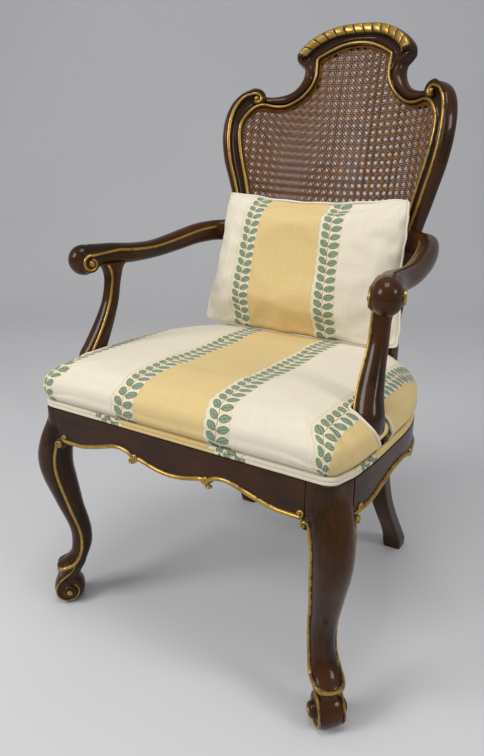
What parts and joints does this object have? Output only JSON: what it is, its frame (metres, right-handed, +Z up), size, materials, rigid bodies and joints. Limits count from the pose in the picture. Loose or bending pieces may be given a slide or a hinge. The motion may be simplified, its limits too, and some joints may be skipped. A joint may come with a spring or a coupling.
{
  "type": "open armchair with caned back",
  "caption": "Open armchair with a shaped caned back, gilt beads, scrolled arms, cabriole front legs, an upholstered seat and a loose pillow.",
  "frame": {"origin": "on the floor, under the middle of the chair's box", "axes": "+Z up, -Y towards the front of the chair, +X towards the right of a viewer who faces the chair"},
  "size_m": [0.6774, 0.726, 1.1519],
  "materials": {
    "show_wood": "satin",
    "gilding": "satin",
    "cane": "satin",
    "striped_linen": "matte",
    "welt_cloth": "matte",
    "foam": "matte",
    "jute": "matte",
    "dust_cloth": "matte",
    "inner_wood": "matte",
    "screw_steel": "satin"
  },
  "bodies": {
    "chair": {"front_leg_left": "show_wood", "front_leg_right": "show_wood", "rear_post_left": "show_wood", "rear_post_right": "show_wood", "front_rail": "show_wood", "side_rail_left": "show_wood", "side_rail_right": "show_wood", "rear_rail": "inner_wood", "corner_blocks": "inner_wood", "corner_screws": "screw_steel", "crest_rail": "show_wood", "back_bottom_rail": "show_wood", "crest_gadroon": "gilding", "inner_back_bead": "gilding", "outer_back_bead_left": "gilding", "outer_back_bead_right": "gilding", "front_cane_panel": "cane", "rear_cane_panel": "cane", "back_dowels": "inner_wood", "arm_left": "show_wood", "arm_right": "show_wood", "arm_post_left": "show_wood", "arm_post_right": "show_wood", "post_dowels": "inner_wood", "arm_bead_left": "gilding", "arm_bead_right": "gilding", "post_bead_left": "gilding", "post_bead_right": "gilding", "leg_beads_left": "gilding", "leg_beads_right": "gilding", "front_rail_bead": "gilding", "side_rail_bead_left": "gilding", "side_rail_bead_right": "gilding", "webbing": "jute", "seat_foam": "foam", "seat_cover": "striped_linen", "seat_welt": "welt_cloth", "dust_cover": "dust_cloth"},
    "loose_pillow": {"pillow": "striped_linen", "pillow_piping": "welt_cloth"}
  },
  "joints": [
    {"name": "pillow_lift", "type": "slide", "parent": "chair", "child": "loose_pillow", "axis": [0, 0, 1], "range_m": [0, 0.3]}
  ]
}
